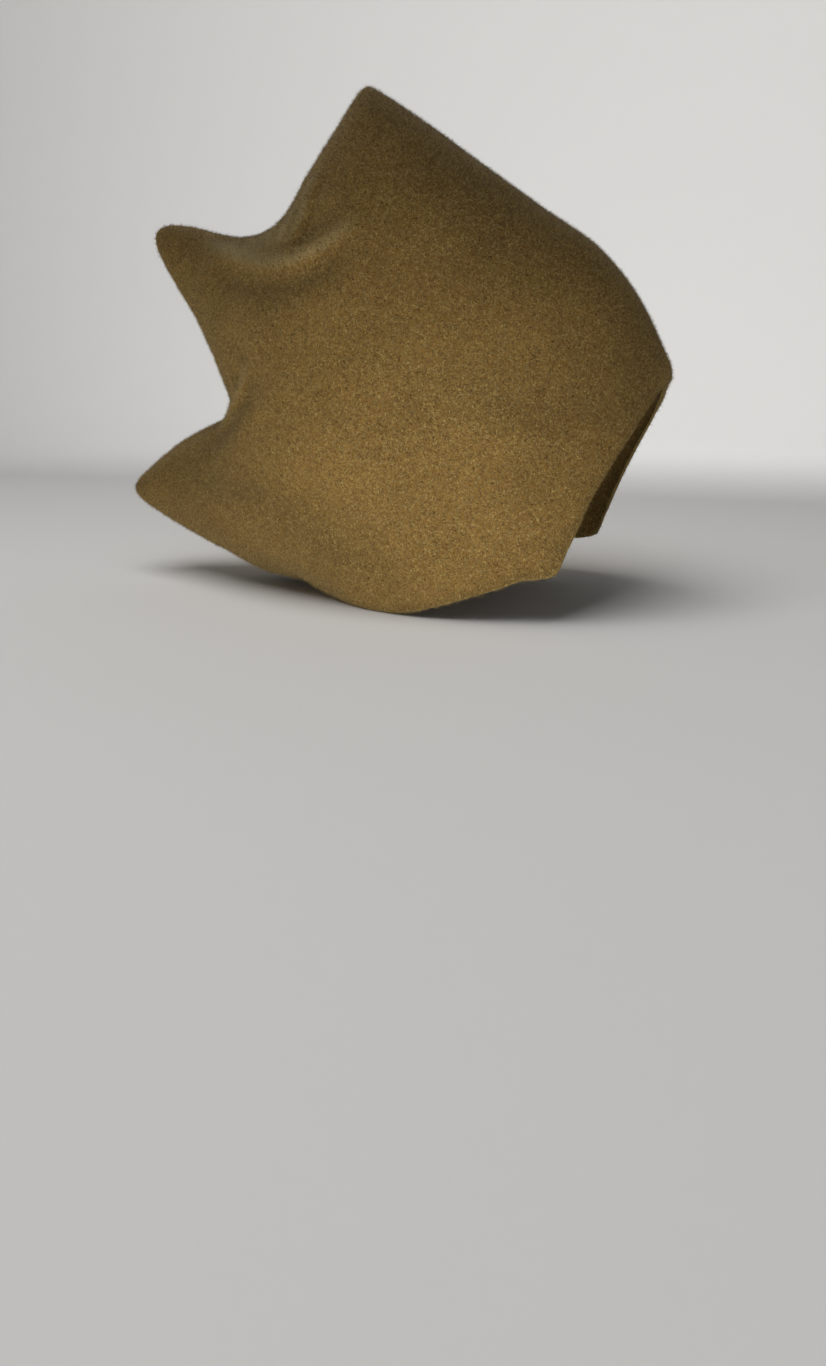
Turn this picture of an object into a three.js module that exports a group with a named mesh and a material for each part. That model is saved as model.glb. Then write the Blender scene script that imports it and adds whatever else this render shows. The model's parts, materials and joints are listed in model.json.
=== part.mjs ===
// A blocked wool-felt cap drawn out into three horns along its middle plane.
// Millimetres. +X is the face side, +Y the wearer's left, +Z up. The rim stands on z = 0.
import * as THREE from 'three';

// Overall sizes, measured from an upright axis through the ears' place (x = 0) and from the surface
// the rim stands on
const frontReach = 147; // axis to the front peak
const peakHeight = 115; // lowest point of the front peak
const crownHeight = 260; // tip of the top horn
const crownLean = 17; // top horn behind the axis
const upperHornReach = 145;
const upperHornHeight = 195;
const lowerHornReach = 171;
const lowerHornHeight = 51;
const topValleyReach = 89;
const topValleyHeight = 190;
const backValleyReach = 95;
const backValleyHeight = 98;
const napeReach = 68;
const widestHalf = 84; // half of the width over the ears

// Rim sizes
const rimHalf = 75; // half of the rim's width over the ears
const cheekReach = 103; // axis to the cheek corner
const cheekLift = 24; // cheek corner above the surface

// Felt sizes
const wall = 2.5;
const topTipRadius = 5;
const upperTipRadius = 7;
const lowerTipRadius = 6;

// The middle line of the cap runs through these corners, from the front peak back to the nape
const corners = {
  peak: { x: frontReach, z: peakHeight },
  topHorn: { x: -crownLean, z: crownHeight, tip: topTipRadius },
  topValley: { x: -topValleyReach, z: topValleyHeight },
  upperHorn: { x: -upperHornReach, z: upperHornHeight, tip: upperTipRadius },
  backValley: { x: -backValleyReach, z: backValleyHeight },
  lowerHorn: { x: -lowerHornReach, z: lowerHornHeight, tip: lowerTipRadius },
  nape: { x: -napeReach, z: 0 },
};

// How the line bows between two corners: `along` and `out` are shares of their distance
const bows = [
  { from: 'peak', to: 'topHorn', along: 0.07, out: 0.036 },
  { from: 'peak', to: 'topHorn', along: 0.20, out: 0.080 },
  { from: 'peak', to: 'topHorn', along: 0.34, out: 0.095 },
  { from: 'peak', to: 'topHorn', along: 0.50, out: 0.074 },
  { from: 'peak', to: 'topHorn', along: 0.75, out: 0.042 },
  { from: 'topHorn', to: 'topValley', along: 0.30, out: -0.060 },
  { from: 'topHorn', to: 'topValley', along: 0.55, out: -0.098 },
  { from: 'topHorn', to: 'topValley', along: 0.71, out: -0.145 },
  { from: 'topHorn', to: 'topValley', along: 0.86, out: -0.105 },
  { from: 'topValley', to: 'upperHorn', along: 0.30, out: 0.025 },
  { from: 'topValley', to: 'upperHorn', along: 0.66, out: 0.080 },
  { from: 'upperHorn', to: 'backValley', along: 0.26, out: 0.018 },
  { from: 'upperHorn', to: 'backValley', along: 0.55, out: -0.025 },
  { from: 'upperHorn', to: 'backValley', along: 0.78, out: -0.030 },
  { from: 'backValley', to: 'lowerHorn', along: 0.15, out: 0.018 },
  { from: 'backValley', to: 'lowerHorn', along: 0.50, out: 0.062 },
  { from: 'backValley', to: 'lowerHorn', along: 0.78, out: 0.052 },
  { from: 'lowerHorn', to: 'nape', along: 0.18, out: 0.042 },
  { from: 'lowerHorn', to: 'nape', along: 0.50, out: 0.036 },
  { from: 'lowerHorn', to: 'nape', along: 0.80, out: 0.022 },
];

// The rim from the front peak to the nape, on the wearer's right
const rimRows = [
  { at: 'peak', x: frontReach, half: 0, z: peakHeight },
  { at: 'peak side', x: 0.976 * frontReach, half: 0.17 * rimHalf, z: 0.972 * peakHeight },
  { at: 'brow', x: 0.957 * frontReach, half: 0.38 * rimHalf, z: 0.920 * peakHeight },
  { at: 'eye', x: 0.925 * frontReach, half: 0.56 * rimHalf, z: 0.826 * peakHeight },
  { at: 'front edge', x: 0.864 * frontReach, half: 0.70 * rimHalf, z: 0.690 * peakHeight },
  { at: 'cheekbone', x: 0.796 * frontReach, half: 0.83 * rimHalf, z: 0.513 * peakHeight },
  { at: 'cheek front', x: 1.040 * cheekReach, half: 0.90 * rimHalf, z: 1.45 * cheekLift },
  { at: 'cheek corner', x: cheekReach, half: 0.93 * rimHalf, z: cheekLift },
  { at: 'cheek bottom', x: 0.880 * cheekReach, half: 0.95 * rimHalf, z: 0.88 * cheekLift },
  { at: 'jaw', x: 0.600 * cheekReach, half: rimHalf, z: 0.50 * cheekLift },
  { at: 'ear', x: 0.380 * cheekReach, half: rimHalf, z: 0.20 * cheekLift },
  { at: 'behind ear', x: 0.190 * cheekReach, half: 0.93 * rimHalf, z: 0 },
  { at: 'hairline', x: -0.070 * napeReach, half: 0.80 * rimHalf, z: 0 },
  { at: 'neck side', x: -0.350 * napeReach, half: 0.58 * rimHalf, z: 0 },
  { at: 'nape side', x: -0.700 * napeReach, half: 0.28 * rimHalf, z: 0 },
  { at: 'nape', x: -napeReach, half: 0, z: 0 },
];

// Soft dents (push below 0) and ridges of each side, drawn in the side view through three places.
// They fade over `wide` to either side and toward both ends.
const folds = [
  { at: 'edge of top valley', wide: 5, push: 1.4, through: [
    [-1.17 * topValleyReach, 0.974 * topValleyHeight],
    [-0.56 * topValleyReach, 0.911 * topValleyHeight],
    [-0.03 * topValleyReach, 1.005 * topValleyHeight]] },
  { at: 'under that edge', wide: 9, push: -2.0, through: [
    [-1.10 * topValleyReach, 0.905 * topValleyHeight],
    [-0.54 * topValleyReach, 0.842 * topValleyHeight],
    [0.05 * topValleyReach, 0.926 * topValleyHeight]] },
  { at: 'foot of top horn', wide: 6, push: -1.8, through: [
    [-0.36 * topValleyReach, 0.947 * topValleyHeight],
    [-0.29 * topValleyReach, 0.990 * topValleyHeight],
    [-0.21 * topValleyReach, 1.040 * topValleyHeight]] },
  { at: 'back of top horn', wide: 4, push: 1.2, through: [
    [-0.34 * topValleyReach, 1.130 * topValleyHeight],
    [-0.41 * topValleyReach, 1.042 * topValleyHeight],
    [-0.52 * topValleyReach, 0.947 * topValleyHeight]] },
  { at: 'flute of back valley', wide: 8, push: -2.5, through: [
    [-0.85 * backValleyReach, 1.430 * backValleyHeight],
    [-0.69 * backValleyReach, 1.270 * backValleyHeight],
    [-0.58 * backValleyReach, 1.050 * backValleyHeight]] },
  { at: 'edge of lower horn', wide: 4, push: 1.0, through: [
    [-0.72 * backValleyReach, 1.180 * backValleyHeight],
    [-0.86 * backValleyReach, 0.980 * backValleyHeight],
    [-1.25 * backValleyReach, 0.800 * backValleyHeight]] },
  { at: 'root of lower horn', wide: 16, push: -3.0, through: [
    [-0.36 * backValleyReach, 0.730 * backValleyHeight],
    [-0.03 * backValleyReach, 0.460 * backValleyHeight],
    [0.25 * backValleyReach, 0.200 * backValleyHeight]] },
  { at: 'bend over the cheek', wide: 7, push: -0.9, through: [
    [0.52 * cheekReach, 4.4 * cheekLift],
    [0.89 * cheekReach, 4.3 * cheekLift],
    [1.22 * cheekReach, 4.1 * cheekLift]] },
  { at: 'cheek', wide: 22, push: 1.6, through: [
    [0.55 * cheekReach, 2.3 * cheekLift],
    [0.80 * cheekReach, 2.2 * cheekLift],
    [1.00 * cheekReach, 3.0 * cheekLift]] },
];

// Mesh: columns run from the front middle line round one side to the back, rows from rim to horn
const columns = 24;
const rowCount = 60;
const crestPad = 18; // gives the short stretches of the middle line their share of the rows
const backCrowd = 1.7; // crowds the columns toward the horns
const leastHalf = 0.4; // points beside the middle line stay at least this far from it
const gridRounds = 1500;
const skinRounds = 1200;
const relaxFactor = 1.8; // overshoot of each relaxing step

const felt = new THREE.MeshStandardMaterial({ color: 0x76602f, roughness: 0.95, metalness: 0 });

// A place on the way from a to b, moved sideways out of the cap
function between(a, b, along, out) {
  const dx = b.x - a.x;
  const dz = b.z - a.z;
  return { x: a.x + along * dx + out * dz, z: a.z + along * dz - out * dx };
}

// Three points of the arc that rounds a horn's tip
const tipTurn = Math.PI / 3; // between two of them

function roundedTip(before, corner, after) {
  const toBefore = new THREE.Vector2(before.x - corner.x, before.z - corner.z).normalize();
  const toAfter = new THREE.Vector2(after.x - corner.x, after.z - corner.z).normalize();
  const axis = toBefore.clone().add(toAfter).normalize().negate();
  const side = toBefore.cross(toAfter) > 0 ? 1 : -1;
  return [side, 0, -side].map((turn) => {
    const spoke = axis.clone().rotateAround(new THREE.Vector2(), turn * tipTurn);
    return {
      x: corner.x + corner.tip * (spoke.x - axis.x),
      z: corner.z + corner.tip * (spoke.y - axis.y),
    };
  });
}

// Points of the middle line from the front peak to the nape, and the place of the top horn's tip
function crestPoints() {
  const points = [];
  let topIndex = 0;
  for (const [name, corner] of Object.entries(corners)) {
    const leaving = bows
      .filter((bow) => bow.from === name)
      .map((bow) => between(corners[bow.from], corners[bow.to], bow.along, bow.out));
    if (corner.tip) {
      points.push(...roundedTip(points[points.length - 1], corner, leaving[0]));
    } else {
      points.push(corner);
    }
    if (name === 'topHorn') topIndex = points.length - 2;
    points.push(...leaving);
  }
  return { points: points.map((p) => new THREE.Vector3(p.x, 0, p.z)), topIndex };
}

// Splits part of a curve into even steps of its length, with `pad` more for each of its spans
const samples = 20; // of each span, to measure its length

function evenSteps(curve, start, end, spans, pad, steps) {
  const fine = samples * spans;
  const at = (k) => curve.getPoint(start + (end - start) * k / fine);
  const measure = [0];
  for (let k = 1; k <= fine; k += 1) {
    measure.push(measure[k - 1] + at(k).distanceTo(at(k - 1)) + pad / samples);
  }
  const result = [];
  let k = 1;
  for (let step = 0; step <= steps; step += 1) {
    const goal = measure[fine] * step / steps;
    while (k < fine && measure[k] < goal) k += 1;
    const share = (goal - measure[k - 1]) / (measure[k] - measure[k - 1]);
    result.push(at(k - 1 + share));
  }
  return result;
}

// The middle line up the front and up the back, and the rim on the right side
function edgeLines() {
  const { points, topIndex } = crestPoints();
  const crest = new THREE.CatmullRomCurve3(points, false, 'centripetal');
  const spans = points.length - 1;
  const top = topIndex / spans;
  const front = evenSteps(crest, 0, top, topIndex, crestPad, rowCount);
  const back = evenSteps(crest, 1, top, spans - topIndex, crestPad, rowCount);
  const half = rimRows.map((row) => new THREE.Vector3(row.x, -row.half, row.z));
  const mirrored = half.slice(1, -1).reverse().map((p) => new THREE.Vector3(p.x, -p.y, p.z));
  const loop = new THREE.CatmullRomCurve3([...half, ...mirrored], true, 'centripetal');
  const rim = evenSteps(loop, 0, 0.5, half.length - 1, 0, columns);
  rim.forEach((p) => { p.z = Math.max(p.z, 0); });
  return { front, back, rim };
}

// Side view of one half: a grid that bends round the horns and valleys without crossing itself
const slot = (row, column) => row * (columns + 1) + column;

function sideGrid({ front, back, rim }) {
  const x = [];
  const z = [];
  for (let row = 0; row <= rowCount; row += 1) {
    for (let column = 0; column <= columns; column += 1) {
      const s = (1 - Math.cos(Math.PI * column / columns)) / 2;
      const t = row / rowCount;
      const blend = (a) => (1 - s) * front[row][a] + s * back[row][a]
        + (1 - t) * (rim[column][a] - (1 - s) * rim[0][a] - s * rim[columns][a]);
      const onRim = row === 0;
      x.push(onRim ? rim[column].x : blend('x'));
      z.push(onRim ? rim[column].z : blend('z'));
    }
  }
  for (let round = 0; round < gridRounds; round += 1) {
    for (let row = 1; row < rowCount; row += 1) {
      for (let column = 1; column < columns; column += 1) {
        // Each point moves to where the lines through its neighbours bend least
        const [i, e, w] = [slot(row, column), slot(row, column + 1), slot(row, column - 1)];
        const [n, s] = [slot(row + 1, column), slot(row - 1, column)];
        const [ne, nw] = [slot(row + 1, column + 1), slot(row + 1, column - 1)];
        const [se, sw] = [slot(row - 1, column + 1), slot(row - 1, column - 1)];
        const angle = Math.PI * column / columns;
        const lean = Math.PI / columns / Math.tan(angle) / 2;
        const alongX = (x[e] - x[w]) / 2;
        const alongZ = (z[e] - z[w]) / 2;
        const upX = (x[n] - x[s]) / 2;
        const upZ = (z[n] - z[s]) / 2;
        const a = upX * upX + upZ * upZ;
        const b = alongX * upX + alongZ * upZ;
        const g = alongX * alongX + alongZ * alongZ;
        const relax = (v) => (a * ((1 - lean) * v[e] + (1 + lean) * v[w]) + g * (v[n] + v[s])
          - 0.5 * b * (v[ne] - v[nw] - v[se] + v[sw])) / (2 * (a + g));
        const nextX = relax(x);
        z[i] = relax(z);
        x[i] = nextX;
      }
    }
  }
  return { x, z };
}

// Cotangent weights of the side view's triangles: pairs of neighbours, and the area each point holds
function springs({ x, z }) {
  const links = x.map(() => new Map());
  const area = x.map(() => 0);
  const addTriangle = (corner) => {
    const [a, b, c] = corner;
    const twice = Math.abs((x[b] - x[a]) * (z[c] - z[a]) - (x[c] - x[a]) * (z[b] - z[a]));
    if (twice < 1e-9) return;
    corner.forEach((far, k) => {
      const i = corner[(k + 1) % 3];
      const j = corner[(k + 2) % 3];
      const dot = (x[i] - x[far]) * (x[j] - x[far]) + (z[i] - z[far]) * (z[j] - z[far]);
      const weight = dot / twice / 2;
      links[i].set(j, (links[i].get(j) ?? 0) + weight);
      links[j].set(i, (links[j].get(i) ?? 0) + weight);
      area[far] += twice / 6;
    });
  };
  for (let row = 0; row < rowCount; row += 1) {
    for (let column = 0; column < columns; column += 1) {
      const [a, b] = [slot(row, column), slot(row, column + 1)];
      const [c, d] = [slot(row + 1, column + 1), slot(row + 1, column)];
      addTriangle([a, b, c]);
      addTriangle([a, c, d]);
    }
  }
  return { links: links.map((link) => [...link]), area };
}

// A skin stretched over the side view: its square half widths, held at the edges and pushed out by `load`
function stretchedSkin({ links, area }, held, load) {
  const value = held.map((h) => h ?? 0);
  for (let round = 0; round < skinRounds; round += 1) {
    for (let i = 0; i < value.length; i += 1) {
      if (held[i] === null) {
        let pull = load * area[i];
        let weights = 0;
        for (const [j, weight] of links[i]) {
          pull += weight * value[j];
          weights += weight;
        }
        value[i] += relaxFactor * (pull / weights - value[i]);
      }
    }
  }
  return value;
}

// Half width of the cap at every point of the side grid, squared
function squaredHalves(grid, rim) {
  const net = springs(grid);
  const edge = (row, column) => {
    if (row === 0) return rim[column].y ** 2;
    return column === 0 || column === columns || row === rowCount ? 0 : null;
  };
  const held = grid.x.map((_, i) => edge(Math.floor(i / (columns + 1)), i % (columns + 1)));
  const atRest = stretchedSkin(net, held, 0);
  const unit = stretchedSkin(net, held.map((h) => (h === null ? null : 0)), 1);
  const loads = unit.map((u, i) => (u > 0 ? (widestHalf ** 2 - atRest[i]) / u : Infinity));
  const load = Math.min(...loads);
  return atRest.map((rest, i) => rest + load * unit[i]);
}

// Value at a place between columns, on a parabola through the three nearest ones
function amongColumns(values, place) {
  const k = Math.min(Math.floor(place), columns - 2);
  const u = place - k;
  return values(k) * (1 - u) * (2 - u) / 2 + values(k + 1) * u * (2 - u) + values(k + 2) * u * (u - 1) / 2;
}

const foldSteps = 12;
const foldLines = folds.map((fold) => (
  new THREE.SplineCurve(fold.through.map(([x, z]) => new THREE.Vector2(x, z))).getPoints(foldSteps)
));

// How far the folds move the felt at a place of the side view
function foldPush(x, z) {
  const place = new THREE.Vector3(x, z, 0);
  const nearest = new THREE.Vector3();
  let push = 0;
  folds.forEach((fold, index) => {
    let away = Infinity;
    let along = 0;
    for (let step = 0; step < foldSteps; step += 1) {
      const [a, b] = foldLines[index].slice(step, step + 2).map((p) => new THREE.Vector3(p.x, p.y, 0));
      const piece = new THREE.Line3(a, b);
      const share = piece.closestPointToPointParameter(place, true);
      const distance = piece.at(share, nearest).distanceTo(place);
      if (distance < away) {
        away = distance;
        along = (step + share) / foldSteps;
      }
    }
    push += fold.push * (1 - (2 * along - 1) ** 4) * Math.exp(-((away / fold.wide) ** 2));
  });
  return push;
}

// Outer skin: rings of points from the rim up, each from the front round the right side and back
// round the left, and one last point at the tip of the top horn. In the last column the squared half
// width falls evenly to the middle line.
function outerSkin() {
  const edges = edgeLines();
  const grid = sideGrid(edges);
  const squares = squaredHalves(grid, edges.rim);
  const points = [];
  for (let row = 0; row < rowCount; row += 1) {
    const side = [];
    for (let column = 0; column <= columns; column += 1) {
      const place = columns * (1 - (1 - column / columns) ** backCrowd);
      const pick = (values) => amongColumns((k) => values[slot(row, k)], place);
      const square = place > columns - 1
        ? squares[slot(row, columns - 1)] * (columns - place)
        : pick(squares);
      const least = column % columns === 0 ? 0 : leastHalf ** 2;
      const half = row === 0
        ? -amongColumns((k) => edges.rim[k].y, place)
        : Math.sqrt(Math.max(square, least));
      side.push(new THREE.Vector3(pick(grid.x), -half, Math.max(pick(grid.z), 0)));
    }
    points.push(...side);
    points.push(...side.slice(1, -1).reverse().map((p) => new THREE.Vector3(p.x, -p.y, p.z)));
  }
  const tip = edges.front[rowCount];
  points.push(tip);
  return points;
}

const ring = 2 * columns;

// Triangles of one skin, whose points start at `offset`; those of the inner skin face inward. The
// left side mirrors the right one.
function skinTriangles(offset, inward) {
  const triangles = [];
  const add = (a, b, c) => triangles.push(...(inward ? [a, c, b] : [a, b, c]).map((i) => i + offset));
  for (let row = 0; row < rowCount; row += 1) {
    for (let k = 0; k < ring; k += 1) {
      const a = row * ring + k;
      const b = row * ring + (k + 1) % ring;
      if (row === rowCount - 1) {
        add(a, rowCount * ring, b);
      } else if (k < columns) {
        add(a, b + ring, b);
        add(a, a + ring, b + ring);
      } else {
        add(a, a + ring, b);
        add(b, a + ring, b + ring);
      }
    }
  }
  return triangles;
}

function geometryOf(points, triangles) {
  const geometry = new THREE.BufferGeometry();
  geometry.setAttribute('position', new THREE.Float32BufferAttribute(points.flatMap((p) => p.toArray()), 3));
  geometry.setIndex(triangles);
  geometry.computeVertexNormals();
  return geometry;
}

function normalsOf(points) {
  const { normal } = geometryOf(points, skinTriangles(0, false)).attributes;
  return points.map((_, i) => new THREE.Vector3().fromBufferAttribute(normal, i));
}

// Both skins of the felt, `wall` apart, joined at the rim
function feltCap() {
  const smooth = outerSkin();
  const outward = normalsOf(smooth);
  const outer = smooth.map((p, i) => (
    i < ring ? p : p.clone().addScaledVector(outward[i], foldPush(p.x, p.z))
  ));
  const normals = normalsOf(outer);
  const inner = outer.map((p, i) => {
    const step = normals[i].clone();
    if (i < ring) step.setZ(0).normalize(); // the rim is cut level, so it stands flat
    return p.clone().addScaledVector(step, -wall);
  });
  const triangles = [
    ...skinTriangles(0, false),
    ...skinTriangles(outer.length, true),
  ];
  for (let k = 0; k < ring; k += 1) {
    const next = (k + 1) % ring;
    triangles.push(k, next, outer.length + next, k, outer.length + next, outer.length + k);
  }
  const geometry = geometryOf([...outer, ...inner], triangles);
  geometry.computeBoundingBox();
  const { min, max } = geometry.boundingBox;
  const mesh = new THREE.Mesh(geometry, felt);
  mesh.name = 'felt_cap';
  mesh.position.set(-(min.x + max.x) / 2, 0, -min.z);
  return mesh;
}

const cap = new THREE.Group();
cap.add(feltCap());

export default cap;
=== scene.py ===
import json
import math

import bpy
import numpy as np
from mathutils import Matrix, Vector

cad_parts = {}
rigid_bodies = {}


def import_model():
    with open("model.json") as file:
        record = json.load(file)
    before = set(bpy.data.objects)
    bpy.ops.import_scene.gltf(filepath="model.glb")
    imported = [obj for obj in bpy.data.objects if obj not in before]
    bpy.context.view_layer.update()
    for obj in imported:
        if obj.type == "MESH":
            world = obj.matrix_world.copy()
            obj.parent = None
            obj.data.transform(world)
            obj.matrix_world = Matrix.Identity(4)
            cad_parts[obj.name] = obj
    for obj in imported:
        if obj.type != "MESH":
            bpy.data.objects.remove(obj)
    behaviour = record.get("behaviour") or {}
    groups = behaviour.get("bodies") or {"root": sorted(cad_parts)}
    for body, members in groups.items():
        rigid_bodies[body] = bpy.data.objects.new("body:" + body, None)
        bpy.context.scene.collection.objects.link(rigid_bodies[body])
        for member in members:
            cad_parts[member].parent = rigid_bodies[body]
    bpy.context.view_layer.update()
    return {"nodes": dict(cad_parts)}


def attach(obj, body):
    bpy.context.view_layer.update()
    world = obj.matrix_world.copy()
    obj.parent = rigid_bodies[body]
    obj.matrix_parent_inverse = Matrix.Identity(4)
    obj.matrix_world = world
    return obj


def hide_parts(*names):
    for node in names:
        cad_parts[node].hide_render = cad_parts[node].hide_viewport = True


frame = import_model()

mm = 0.001


# Helpers

def linearColour(hexCode):
    parts = [int(hexCode[i:i + 2], 16) / 255 for i in (1, 3, 5)]
    return [p / 12.92 if p <= 0.04045 else ((p + 0.055) / 1.055) ** 2.4 for p in parts] + [1.0]


def addNode(tree, kind, settings=None, links=None):
    node = tree.nodes.new(kind)
    for name, value in (settings or {}).items():
        if hasattr(node, name):
            setattr(node, name, value)
        else:
            node.inputs[name].default_value = value
    for name, source in (links or {}).items():
        tree.links.new(source, node.inputs[name])
    return node


def deselectAll():
    if bpy.context.object and bpy.context.object.mode != "OBJECT":
        bpy.ops.object.mode_set(mode="OBJECT")
    bpy.ops.object.select_all(action="DESELECT")


def pickOnly(piece):
    deselectAll()
    piece.select_set(True)
    bpy.context.view_layer.objects.active = piece


def mapRange(tree, value, start, end, low, high):
    node = addNode(tree, "ShaderNodeMapRange",
                   {"From Min": start, "From Max": end, "To Min": low, "To Max": high}, {"Value": value})
    return node.outputs["Result"]


def mixColour(tree, share, under, over):
    settings, links = {"Color2": linearColour(over)}, {"Fac": share}
    if isinstance(under, str):
        settings["Color1"] = linearColour(under)
    else:
        links["Color1"] = under
    return addNode(tree, "ShaderNodeMixRGB", settings, links).outputs["Color"]


def addUp(tree, first, second):
    node = addNode(tree, "ShaderNodeMath", {"operation": "ADD"})
    tree.links.new(first, node.inputs[0])
    tree.links.new(second, node.inputs[1])
    return node.outputs["Value"]


def noise(tree, place, size, **settings):
    names = {name.title(): value for name, value in settings.items()}
    return addNode(tree, "ShaderNodeTexNoise", {"Scale": 1 / size, **names}, {"Vector": place}).outputs["Fac"]


def applyModifier(piece, kind, **settings):
    pickOnly(piece)
    modifier = piece.modifiers.new(kind.title(), kind)
    for name, value in settings.items():
        setattr(modifier, name, value)
    bpy.ops.object.modifier_apply(modifier=modifier.name)


# The felt cap, one piece: the CAD mesh merged, its cut edge rounded, then smoothed

cap = {
    "node": "felt_cap",
    "mergeWithin": 0.01 * mm,
    "ringsToEdge": 60,                # rings of faces from the top horn's tip to the cut edge
    "edgeRound": 0.9 * mm,
    "edgeSteps": 2,
    "smoothLevels": 2,
    "pushOuts": 3,
    "waveSize": 38 * mm,              # soft unevenness left by blocking over steam
    "waveHeight": 1.1 * mm,
    "lipCurl": 1.1 * mm,              # how far the cut edge turns in
    "quadBend": math.radians(70),     # the widest bend between two triangles joined into a quad
    "quadSkew": math.radians(160),
    "leastWeight": 0.01,
}

# Soft creases, in the side view (x, z), mm: how wide, how far out, and how much paler (wear and painted
# sheen, above 0) or darker (painted shade, below 0)
creases = [
    {"name": "shoulderEdge", "wide": 3.4, "push": 0.9, "sheenWearShade": 0.8,
     "through": [(-98, 188), (-82, 183), (-62, 177), (-40, 172), (-22, 173), (-7, 178), (4, 185),
                 (10, 192)]},
    {"name": "shoulderHollow", "wide": 6.0, "push": -1.0, "sheenWearShade": -0.5,
     "through": [(-84, 171), (-62, 165), (-40, 162), (-20, 163), (-2, 169), (10, 179)]},
    # painted sheen: the floor of the top valley is made paler where light from above would fall
    {"name": "valleyFloor", "wide": 9.0, "push": 0.0, "sheenWearShade": 0.55,
     "through": [(-96, 194), (-78, 190), (-58, 186), (-38, 186), (-22, 196), (-12, 214)]},
    {"name": "longPleat", "wide": 1.9, "push": 1.0, "sheenWearShade": 0.7,
     "through": [(-17, 215), (-22, 206), (-23, 197), (-27, 187), (-30, 180)]},
    {"name": "longPleatFront", "wide": 2.8, "push": -0.9, "sheenWearShade": -0.6,
     "through": [(-11, 214), (-16, 204), (-17, 196), (-21, 186), (-25, 179)]},
    {"name": "shortPleat", "wide": 1.8, "push": 0.8, "sheenWearShade": 0.6,
     "through": [(-27, 201), (-29, 196), (-32, 189), (-35, 181)]},
    {"name": "pleatGap", "wide": 1.6, "push": -0.5, "sheenWearShade": -0.3,
     "through": [(-24, 202), (-26, 196), (-29, 188), (-32, 181)]},
    {"name": "backValleyEdge", "wide": 2.4, "push": 0.9, "sheenWearShade": 0.65,
     "through": [(-50, 128), (-53, 119), (-57, 111), (-63, 104), (-75, 95), (-90, 88)]},
    {"name": "backValleyHollow", "wide": 4.5, "push": -1.1, "sheenWearShade": -0.8,
     "through": [(-45, 116), (-50, 107), (-58, 98), (-70, 89), (-88, 80)]},
    {"name": "lowerHornRidge", "wide": 3.0, "push": 0.4, "sheenWearShade": 0.2,
     "through": [(-84, 91), (-105, 82), (-128, 69), (-146, 58)]},
    # painted sheen along the top outline, where the fuzz would catch light from behind
    {"name": "frontRidge", "wide": 3.0, "push": 0.0, "sheenWearShade": 0.4,
     "through": [(20, 243), (42, 231), (88, 200), (117, 180), (138, 157), (152, 133)]},
    {"name": "cheekBend", "wide": 14.0, "push": -0.9, "sheenWearShade": -0.4,
     "through": [(36, 112), (68, 110), (100, 106), (128, 103), (156, 100)]},
    {"name": "hornRootHollow", "wide": 13.0, "push": -0.8, "sheenWearShade": -0.6,
     "through": [(-130, 58), (-100, 60), (-62, 58), (-37, 52), (-8, 38), (16, 25), (44, 13)]},
]

# Small pulls on both skins, in the side view: a crisp cheek corner, a blunt peak, a notch at the nape
pulls = [
    {"name": "cheekCorner", "at": (115.6, 26.5), "reach": 4.5, "move": (0.4, -3.4)},
    {"name": "cheekBottom", "at": (99, 19), "reach": 9, "move": (0.0, 2.6)},
    {"name": "cheekFront", "at": (120, 37), "reach": 6, "move": (-0.9, 0.2)},
    {"name": "peak", "at": (159, 114.5), "reach": 2.6, "move": (-1.5, 0.4)},
    {"name": "overPeak", "at": (157, 124), "reach": 5.0, "move": (1.1, 0.2)},
    {"name": "underPeak", "at": (153, 106), "reach": 4.0, "move": (1.1, -0.2)},
    {"name": "napeEdge", "at": (-56, 3), "reach": 9, "move": (0.8, 1.6)},
    {"name": "napeNotch", "at": (-39, 2.5), "reach": 10, "move": (0.0, 4.6)},
    {"name": "underHorn", "at": (-92, 16), "reach": 35, "move": (0.4, 2.0)},
    {"name": "backValley", "at": (-75.5, 104), "reach": 8, "move": (4.2, -0.3)},
]


def sideWeights(points, crease):
    line = np.array(crease["through"], float)
    away = np.full(len(points), np.inf)
    along = np.zeros(len(points))
    steps = len(line) - 1
    for i in range(steps):
        start, run = line[i], line[i + 1] - line[i]
        share = np.clip((points - start) @ run / (run @ run), 0, 1)
        distance = np.linalg.norm(points - start - share[:, None] * run, axis=1)
        closer = distance < away
        away[closer] = distance[closer]
        along[closer] = ((i + share) / steps)[closer]
    return np.exp(-(away / crease["wide"]) ** 2) * (1 - (2 * along - 1) ** 4)


def pointPlaces(mesh):
    places = np.empty(len(mesh.vertices) * 3)
    mesh.vertices.foreach_get("co", places)
    return places.reshape(-1, 3)


def groupWeights(piece, name):
    group = piece.vertex_groups[name]
    weights = np.zeros(len(piece.data.vertices))
    for vertex in piece.data.vertices:
        for entry in vertex.groups:
            if entry.group == group.index:
                weights[vertex.index] = entry.weight
    return weights


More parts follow.
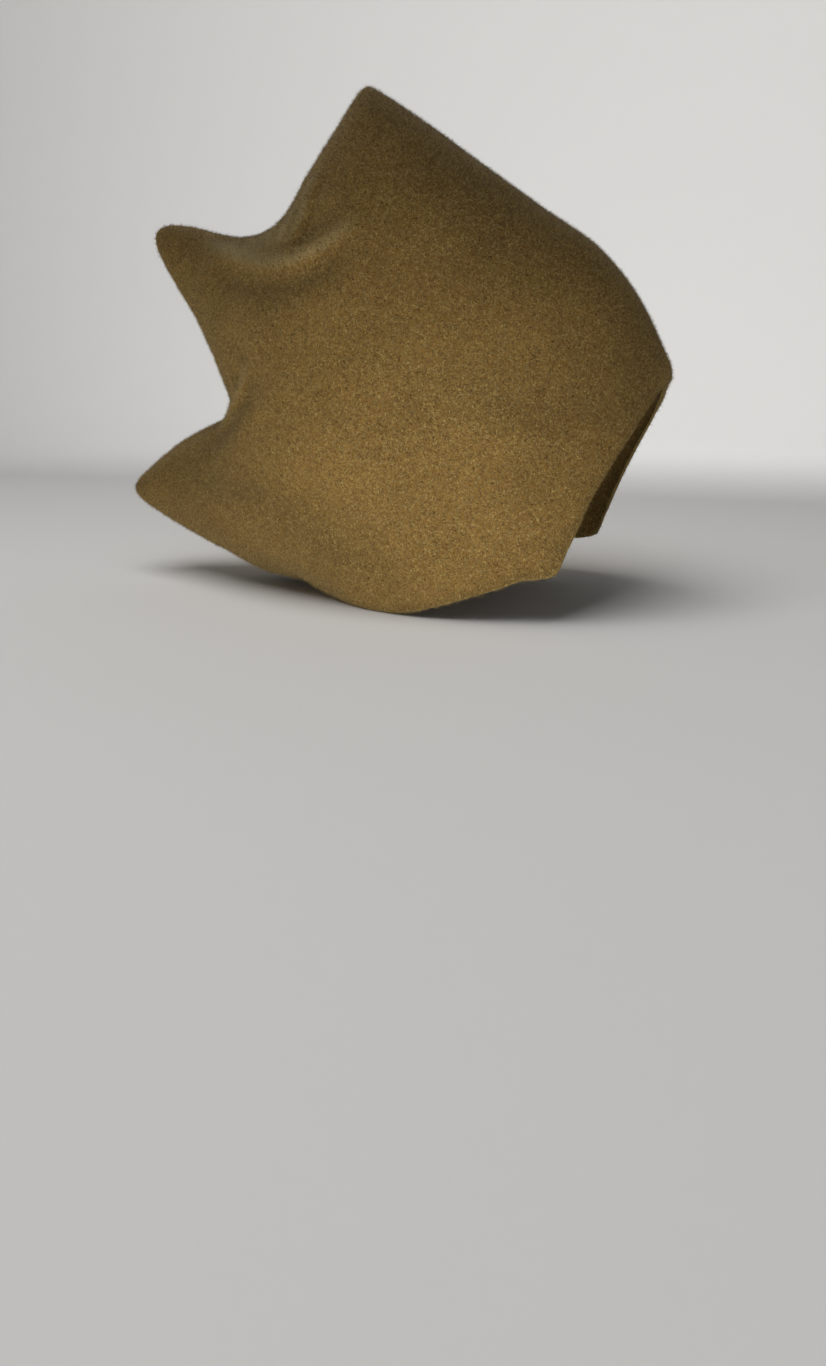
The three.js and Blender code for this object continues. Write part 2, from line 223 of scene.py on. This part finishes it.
def makeCap():
    node = frame["nodes"][cap["node"]]
    piece = bpy.data.objects.new("feltCap", node.data.copy())
    bpy.context.collection.objects.link(piece)
    piece.data.materials.clear()
    pickOnly(piece)
    bpy.ops.mesh.customdata_custom_splitnormals_clear()
    bpy.ops.object.mode_set(mode="EDIT")
    bpy.ops.mesh.select_mode(type="EDGE")
    bpy.ops.mesh.select_all(action="SELECT")
    bpy.ops.mesh.remove_doubles(threshold=cap["mergeWithin"])
    bpy.ops.object.mode_set(mode="OBJECT")
    ends = np.array([edge.vertices[:] for edge in piece.data.edges])
    meeting = np.bincount(ends.ravel())
    poles = [point for point in piece.data.vertices if meeting[point.index] == meeting.max()]
    tip = max(poles, key=lambda point: point.co.z).index
    bpy.ops.object.mode_set(mode="EDIT")

    # the outer skin is all that the selection reaches from the top horn's tip,
    # and the cut edge is one ring more
    bpy.ops.mesh.select_mode(type="VERT")
    bpy.ops.mesh.select_all(action="DESELECT")
    bpy.ops.object.mode_set(mode="OBJECT")
    piece.data.vertices[tip].select = True
    bpy.ops.object.mode_set(mode="EDIT")
    for ring in range(cap["ringsToEdge"]):
        bpy.ops.mesh.select_more(use_face_step=True)
    piece.vertex_groups.new(name="outer")
    bpy.ops.object.vertex_group_assign()
    bpy.ops.mesh.region_to_loop()
    bpy.ops.mesh.mark_seam(clear=False)
    bpy.ops.mesh.select_mode(type="VERT")
    bpy.ops.object.vertex_group_select()
    bpy.ops.mesh.select_more(use_face_step=True)
    bpy.ops.mesh.region_to_loop()
    bpy.ops.mesh.mark_seam(clear=False)
    bpy.ops.mesh.select_mode(type="EDGE")
    bpy.ops.mesh.select_all(action="SELECT")
    bpy.ops.mesh.tris_convert_to_quads(face_threshold=cap["quadBend"], shape_threshold=cap["quadSkew"],
                                       topology_influence=2.0, seam=True)
    bpy.ops.mesh.select_all(action="DESELECT")
    bpy.ops.object.mode_set(mode="OBJECT")
    for edge in piece.data.edges:
        edge.select = edge.use_seam
    print("cap: edges round the rim", sum(edge.use_seam for edge in piece.data.edges))
    bpy.ops.object.mode_set(mode="EDIT")
    piece.vertex_groups.new(name="lip")
    bpy.ops.object.vertex_group_assign()
    bpy.ops.mesh.bevel(offset=cap["edgeRound"], segments=cap["edgeSteps"], affect="EDGES")
    bpy.ops.object.mode_set(mode="OBJECT")

    # smoothing pulls the horns in, so the coarse mesh is first pushed out by as much
    wanted = pointPlaces(piece.data)
    for attempt in range(cap["pushOuts"]):
        smoothed = piece.copy()
        smoothed.data = piece.data.copy()
        bpy.context.collection.objects.link(smoothed)
        applyModifier(smoothed, "SUBSURF", levels=1, render_levels=1)
        gap = wanted - pointPlaces(smoothed.data)[:len(wanted)]
        piece.data.vertices.foreach_set("co", (pointPlaces(piece.data) + gap).ravel())
        bpy.data.objects.remove(smoothed)
    levels = cap["smoothLevels"]
    applyModifier(piece, "SUBSURF", levels=levels, render_levels=levels)

    places = pointPlaces(piece.data) / mm
    outside, edge = groupWeights(piece, "outer"), groupWeights(piece, "lip")
    print("cap: outer points", int((outside > 0.5).sum()), "points at the cut edge", int((edge > 0.5).sum()))
    for pull in pulls:
        away = np.linalg.norm(places[:, [0, 2]] - pull["at"], axis=1)
        places[:, [0, 2]] += np.exp(-away / pull["reach"])[:, None] * pull["move"]
    inward = -places * (0.35, 1, 0)       # mostly sideways, a little along
    inward /= np.linalg.norm(inward, axis=1)[:, None] + 0.001
    places += inward * (edge ** 2 * cap["lipCurl"] / mm)[:, None]
    places[:, 2] = np.maximum(places[:, 2], 0)
    piece.data.vertices.foreach_set("co", (places * mm).ravel())
    rimNear = piece.data.attributes.new("rimNear", "FLOAT", "POINT")
    rimNear.data.foreach_set("value", edge)
    sheenWearShade = np.zeros(len(places))
    for crease in creases:
        weights = sideWeights(places[:, [0, 2]], crease) * outside
        sheenWearShade += crease["sheenWearShade"] * weights
        if crease["push"] == 0:       # only a painted tone (sheen above 0, shade below), no change of shape
            continue
        group = piece.vertex_groups.new(name=crease["name"])
        for i in np.nonzero(weights > cap["leastWeight"])[0]:
            group.add([int(i)], float(weights[i]), "REPLACE")
        applyModifier(piece, "DISPLACE", vertex_group=group.name, strength=crease["push"] * mm,
                      mid_level=0.0)
    # sum over the creases of wear and painted sheen (above 0) and painted shade (below 0)
    foldSheenWearShade = piece.data.attributes.new("foldSheenWearShade", "FLOAT", "POINT")
    foldSheenWearShade.data.foreach_set("value", np.clip(sheenWearShade, -1, 1))
    waves = bpy.data.textures.new("blockingWaves", "CLOUDS")
    waves.noise_scale = cap["waveSize"]
    waves.noise_depth = 1
    applyModifier(piece, "DISPLACE", texture=waves, texture_coords="LOCAL", vertex_group="outer",
                  strength=cap["waveHeight"], mid_level=0.5)
    bpy.ops.object.shade_smooth()
    return piece


# Wool felt: short wool fibres shrunk into a thick even cloth, then brushed, so it is matt and
# speckled by fibres of lighter and darker dye, and pale at grazing angles

felt = {
    "midTone": "#80612F",
    "darkFleck": "#4A3414",
    "paleFleck": "#A8935A",
    # painted shade darkening the felt towards the rim
    "rimShadeTone": "#66502A",
    "ridgeWearSheenTone": "#9C8F68",            # pale wear and painted sheen along the ridges of folds
    # painted shade in the hollows of folds
    "hollowShadeTone": "#4F3E1F",
    "fleckSize": 1.3 * mm,            # coarser than the real flecks, which would not show
    "paleSize": 1.1 * mm,
    "mottleSize": 6.5 * mm,
    "dyeSize": 45 * mm,
    "fibreSize": 1.2 * mm,
    "roughness": 0.95,
    "sheen": 0.4,
    "sheenTint": "#B8A672",
    "sheenRoughness": 0.32,
    "specular": 0.2,
    "bump": 1.0,
    "bumpHeight": 0.5 * mm,
    "darkFrom": (0.50, 0.33),         # noise values between which a fleck comes in
    "paleFrom": (0.51, 0.66),
    "fleckShare": 0.85,
    "unevenFrom": (0.7, 1.3),
    "unevenShade": (0.84, 1.15),
    # how far wear, painted sheen and painted shade pull the colour
    "sheenWearShadeShare": 0.6,
    "rimShadeFrom": (0.1, 0.9),
    # painted highlight: a pale line along the very cut edge
    "cutHighlightFrom": (0.85, 1.0),
    "cutHighlightShare": 0.45,
}


# Wear and painted sheen along fold ridges, a painted highlight on the cut edge, and painted shade in fold
# hollows and along the rim, mixed over a ground colour
def wearAndPaintedLight(tree, ground):
    rimNear = addNode(tree, "ShaderNodeAttribute", {"attribute_name": "rimNear"}).outputs["Fac"]
    wear = addNode(tree, "ShaderNodeAttribute", {"attribute_name": "foldSheenWearShade"}).outputs["Fac"]
    # painted shade: darker towards the cut edge, where the curled rim turns from the light
    edge = mapRange(tree, rimNear, *felt["rimShadeFrom"], 0.0, felt["sheenWearShadeShare"])
    # wear and painted sheen along the ridges of folds
    ridgeWearSheen = mapRange(tree, wear, 0.0, 1.0, 0.0, felt["sheenWearShadeShare"])
    # painted shade in the hollows of folds
    hollowShade = mapRange(tree, wear, 0.0, -1.0, 0.0, felt["sheenWearShadeShare"])
    # painted highlight: a pale line along the very cut edge, where the fuzz would catch light
    cut = mapRange(tree, rimNear, *felt["cutHighlightFrom"], 0.0, felt["cutHighlightShare"])
    colour = mixColour(tree, edge, ground, felt["rimShadeTone"])
    colour = mixColour(tree, ridgeWearSheen, colour, felt["ridgeWearSheenTone"])
    colour = mixColour(tree, hollowShade, colour, felt["hollowShadeTone"])
    return mixColour(tree, cut, colour, felt["paleFleck"])


def makeFelt():
    material = bpy.data.materials.new("brushedWoolFelt")
    material.use_nodes = True
    tree = material.node_tree
    tree.nodes.clear()
    place = addNode(tree, "ShaderNodeTexCoord").outputs["Object"]
    flecks = noise(tree, place, felt["fleckSize"], detail=2.0, roughness=0.6, distortion=1.0)
    wisps = noise(tree, place, felt["paleSize"], detail=2.0, roughness=0.6, distortion=1.6)
    mottle = noise(tree, place, felt["mottleSize"], detail=3.0, roughness=0.65)
    dye = noise(tree, place, felt["dyeSize"], detail=2.0)
    fibres = noise(tree, place, felt["fibreSize"], detail=3.0, roughness=0.7, distortion=1.2)

    dark = mapRange(tree, flecks, *felt["darkFrom"], 0.0, felt["fleckShare"])
    pale = mapRange(tree, wisps, *felt["paleFrom"], 0.0, felt["fleckShare"])
    colour = mixColour(tree, dark, wearAndPaintedLight(tree, felt["midTone"]), felt["darkFleck"])
    colour = mixColour(tree, pale, colour, felt["paleFleck"])
    shade = mapRange(tree, addUp(tree, mottle, dye), *felt["unevenFrom"], *felt["unevenShade"])
    uneven = addNode(tree, "ShaderNodeHueSaturation", {}, {"Value": shade, "Color": colour})
    bump = addNode(tree, "ShaderNodeBump", {"Strength": felt["bump"], "Distance": felt["bumpHeight"]},
                   {"Height": addUp(tree, fibres, mottle)})
    shader = addNode(tree, "ShaderNodeBsdfPrincipled",
                     {"Roughness": felt["roughness"], "Specular IOR Level": felt["specular"], "IOR": 1.5,
                      "Sheen Weight": felt["sheen"], "Sheen Roughness": felt["sheenRoughness"],
                      "Sheen Tint": linearColour(felt["sheenTint"])},
                     {"Base Color": uneven.outputs["Color"], "Normal": bump.outputs["Normal"]})
    addNode(tree, "ShaderNodeOutputMaterial", {}, {"Surface": shader.outputs["BSDF"]})
    return material


# The nap: short fibre ends that stand off the surface, in four sets

nap = {
    "tones": ["#B39D62", "#98803F", "#7A5C2B", "#453116"],
    "perSet": 46000,
    "length": 2.1 * mm,
    "thickness": 0.08 * mm,           # coarser than wool, so that single ends show
    "bend": 0.5 * mm,
    "sides": 3,
    "standOff": 0.42,                 # share of the length at which a fibre's middle stands
    "leanLeast": math.radians(18),
    "leanMost": math.radians(75),
    "sizeLeast": 0.5,
    "sizeMost": 1.3,
    "roughness": 0.9,
    "sheen": 0.2,
}


def makeFibre():
    deselectAll()
    bpy.ops.mesh.primitive_cone_add(vertices=nap["sides"], radius1=nap["thickness"], radius2=0,
                                    depth=nap["length"],
                                    location=(0, 0, nap["length"] * nap["standOff"]))
    fibre = bpy.context.object
    fibre.name = "napFibre"
    bpy.ops.object.transform_apply(location=True)
    tip = max(fibre.data.vertices, key=lambda point: point.co.z).index
    bpy.ops.object.mode_set(mode="EDIT")
    bpy.ops.mesh.select_mode(type="VERT")
    bpy.ops.mesh.select_all(action="DESELECT")
    bpy.ops.object.mode_set(mode="OBJECT")
    fibre.data.vertices[tip].select = True
    bpy.ops.object.mode_set(mode="EDIT")
    bpy.ops.transform.translate(value=(nap["bend"], 0, 0))
    bpy.ops.object.mode_set(mode="OBJECT")
    return fibre


def napTree(fibre, seed, count, area):
    tree = bpy.data.node_groups.new("napScatter", "GeometryNodeTree")
    tree.interface.new_socket("Geometry", in_out="INPUT", socket_type="NodeSocketGeometry")
    tree.interface.new_socket("Geometry", in_out="OUTPUT", socket_type="NodeSocketGeometry")
    source = addNode(tree, "NodeGroupInput")
    outside = addNode(tree, "GeometryNodeInputNamedAttribute", {"data_type": "FLOAT", "Name": "outer"})
    spread = addNode(tree, "GeometryNodeDistributePointsOnFaces",
                     {"distribute_method": "RANDOM", "Density": count / area, "Seed": seed},
                     {"Mesh": source.outputs["Geometry"], "Selection": outside.outputs["Attribute"]})
    turn = addNode(tree, "FunctionNodeRandomValue", {"data_type": "FLOAT_VECTOR", "Seed": seed + 10})
    turn.inputs[0].default_value = (nap["leanLeast"], 0, 0)
    turn.inputs[1].default_value = (nap["leanMost"], 0, 0)
    spin = addNode(tree, "FunctionNodeRandomValue", {"data_type": "FLOAT_VECTOR", "Seed": seed + 20})
    spin.inputs[0].default_value = (0, 0, 0)
    spin.inputs[1].default_value = (0, 0, 2 * math.pi)
    size = addNode(tree, "FunctionNodeRandomValue", {"data_type": "FLOAT", "Seed": seed + 30})
    size.inputs[2].default_value = nap["sizeLeast"]
    size.inputs[3].default_value = nap["sizeMost"]
    shape = addNode(tree, "GeometryNodeObjectInfo", {"Object": fibre})
    spun = addNode(tree, "FunctionNodeRotateEuler", {"space": "LOCAL"},
                   {"Rotation": spread.outputs["Rotation"], "Rotate By": spin.outputs[0]})
    leant = addNode(tree, "FunctionNodeRotateEuler", {"space": "LOCAL"},
                    {"Rotation": spun.outputs[0], "Rotate By": turn.outputs[0]})
    placed = addNode(tree, "GeometryNodeInstanceOnPoints", {},
                     {"Points": spread.outputs["Points"], "Instance": shape.outputs["Geometry"],
                      "Rotation": leant.outputs[0], "Scale": size.outputs[1]})
    real = addNode(tree, "GeometryNodeRealizeInstances", {}, {"Geometry": placed.outputs["Instances"]})
    addNode(tree, "NodeGroupOutput", {}, {"Geometry": real.outputs["Geometry"]})
    return tree


def makeNap(skin, fibre, index):
    piece = bpy.data.objects.new(f"feltNap{index + 1}", skin.data.copy())
    bpy.context.collection.objects.link(piece)
    area = sum(face.area for face in skin.data.polygons) / 2       # about half is the outer skin
    pickOnly(piece)
    modifier = piece.modifiers.new("nap", "NODES")
    modifier.node_group = napTree(fibre, 7 + index, nap["perSet"], area)
    bpy.ops.object.modifier_apply(modifier=modifier.name)
    places = pointPlaces(piece.data)
    places[:, 2] = np.maximum(places[:, 2], 0)        # fibres under the rim lie flat on the surface
    piece.data.vertices.foreach_set("co", places.ravel())
    piece.data.materials.clear()
    print("nap set", index + 1, "faces", len(piece.data.polygons))
    return piece


def makeNapMaterial(tone, index):
    material = bpy.data.materials.new(f"brushedWoolFibre{index + 1}")
    material.use_nodes = True
    tree = material.node_tree
    shader = tree.nodes["Principled BSDF"]
    # the fibres carry the same wear, painted sheen, painted highlight and painted shade as the felt
    tree.links.new(wearAndPaintedLight(tree, tone), shader.inputs["Base Color"])
    shader.inputs["Roughness"].default_value = nap["roughness"]
    shader.inputs["Sheen Weight"].default_value = nap["sheen"]
    return material


feltCap = makeCap()
print("cap faces", len(feltCap.data.polygons))
feltCap.data.materials.append(makeFelt())
fibre = makeFibre()
napPieces = []
napPieces = [makeNap(feltCap, fibre, index) for index in range(len(nap["tones"]))]
for index, piece in enumerate(napPieces):
    piece.data.materials.append(makeNapMaterial(nap["tones"][index], index))
bpy.data.objects.remove(fibre)

for piece in [feltCap, *napPieces]:
    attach(piece, "root")
    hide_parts(cap["node"])


# Room: a pale floor that curves up into a pale wall all round

room = {
    "floorSides": 96,
    "floorRadius": 1.3,
    "coveRadius": 1.1,
    "coveSteps": 12,
    "wallHeight": 2.4,
    "paint": "#DAD9D7",
    "roughness": 0.9,
    "specular": 0.1,
    "sky": "#F2F3F5",
    "skyStrength": 0.03,
}


def makeRoom():
    deselectAll()
    bpy.ops.mesh.primitive_circle_add(vertices=room["floorSides"], radius=room["floorRadius"],
                                      fill_type="NGON")
    floor = bpy.context.object
    floor.name = "paleFloor"
    bpy.ops.object.mode_set(mode="EDIT")
    bpy.ops.mesh.select_mode(type="EDGE")
    bpy.ops.mesh.select_all(action="SELECT")
    radius = room["floorRadius"]
    height = 0.0
    for step in range(1, room["coveSteps"] + 1):
        angle = math.pi / 2 * step / room["coveSteps"]
        newRadius = room["floorRadius"] + room["coveRadius"] * math.sin(angle)
        newHeight = room["coveRadius"] * (1 - math.cos(angle))
        bpy.ops.mesh.extrude_edges_move(TRANSFORM_OT_translate={"value": (0, 0, newHeight - height)})
        wider = newRadius / radius
        bpy.ops.transform.resize(value=(wider, wider, 1), center_override=(0, 0, 0))
        radius, height = newRadius, newHeight
    wallRise = room["wallHeight"] - height
    bpy.ops.mesh.extrude_edges_move(TRANSFORM_OT_translate={"value": (0, 0, wallRise)})
    bpy.ops.object.mode_set(mode="OBJECT")
    bpy.ops.object.shade_smooth()
    paint = bpy.data.materials.new("mattPaint")
    paint.use_nodes = True
    shader = paint.node_tree.nodes["Principled BSDF"]
    shader.inputs["Base Color"].default_value = linearColour(room["paint"])
    shader.inputs["Roughness"].default_value = room["roughness"]
    shader.inputs["Specular IOR Level"].default_value = room["specular"]
    floor.data.materials.append(paint)
    return floor


floor = makeRoom()
print("room done")


# Lights and camera

lights = [
    {"name": "lowSoftbox", "place": (0.06, -0.33, 0.045), "aim": (0.035, 0.0, 0.08), "size": (0.3, 0.08),
     "power": 0.61, "lit": "cap"},
    {"name": "backSoftbox", "place": (-0.25, 0.42, 0.75), "aim": (-0.04, 0.0, 0.16), "size": (0.4, 0.4),
     "power": 4.0, "lit": "cap"},
    {"name": "farSoftbox", "place": (-0.10, 0.80, 0.15), "aim": (0.0, 0.0, 0.12), "size": (0.7, 0.3),
     "power": 3.5, "lit": "cap"},
    {"name": "overheadSoftbox", "place": (-0.2, -0.5, 1.5), "aim": (0.0, 0.0, 0.0), "size": (1.3, 1.3),
     "power": 18.5, "lit": "room"},
    {"name": "wallWash", "place": (0.0, 0.7, 1.1), "aim": (0.0, 2.2, 0.8), "size": (1.6, 0.6),
     "power": 19.5, "lit": "room"},
]
litGroups = {
    "cap": bpy.data.collections.new("litByCapLights"),
    "room": bpy.data.collections.new("litByRoomLights"),
}
for piece in [feltCap, *napPieces]:
    litGroups["cap"].objects.link(piece)
litGroups["room"].objects.link(floor)

for light in lights:
    deselectAll()
    bpy.ops.object.light_add(type="AREA", location=light["place"])
    lamp = bpy.context.object
    lamp.name = light["name"]
    lamp.data.shape = "RECTANGLE"
    lamp.data.size, lamp.data.size_y = light["size"]
    lamp.data.energy = light["power"]
    lamp.rotation_euler = (Vector(light["aim"]) - lamp.location).to_track_quat("-Z", "Y").to_euler()
    lamp.visible_camera = False
    lamp.light_linking.receiver_collection = litGroups[light["lit"]]

sky = bpy.data.worlds.new("paleRoom")
sky.use_nodes = True
skyLight = sky.node_tree.nodes["Background"]
skyLight.inputs["Color"].default_value = linearColour(room["sky"])
skyLight.inputs["Strength"].default_value = room["skyStrength"]
bpy.context.scene.world = sky
bpy.context.scene.view_settings.view_transform = "Standard"

view = {
    "place": (0.201, -0.558, 0.121),
    "turn": math.radians(18),
    "tilt": math.radians(-17),
    "focal": 1026 / 1366,             # share of the picture's long side
    "longSide": 36.0,
}
deselectAll()
bpy.ops.object.camera_add(location=view["place"], rotation=(math.pi / 2 + view["tilt"], 0, view["turn"]))
camera = bpy.context.object
camera.data.sensor_fit = "VERTICAL"
camera.data.sensor_height = view["longSide"]
camera.data.sensor_width = view["longSide"]
camera.data.lens = view["longSide"] * view["focal"]
camera.data.clip_start = 0.01
bpy.context.scene.camera = camera

bpy.context.view_layer.update()
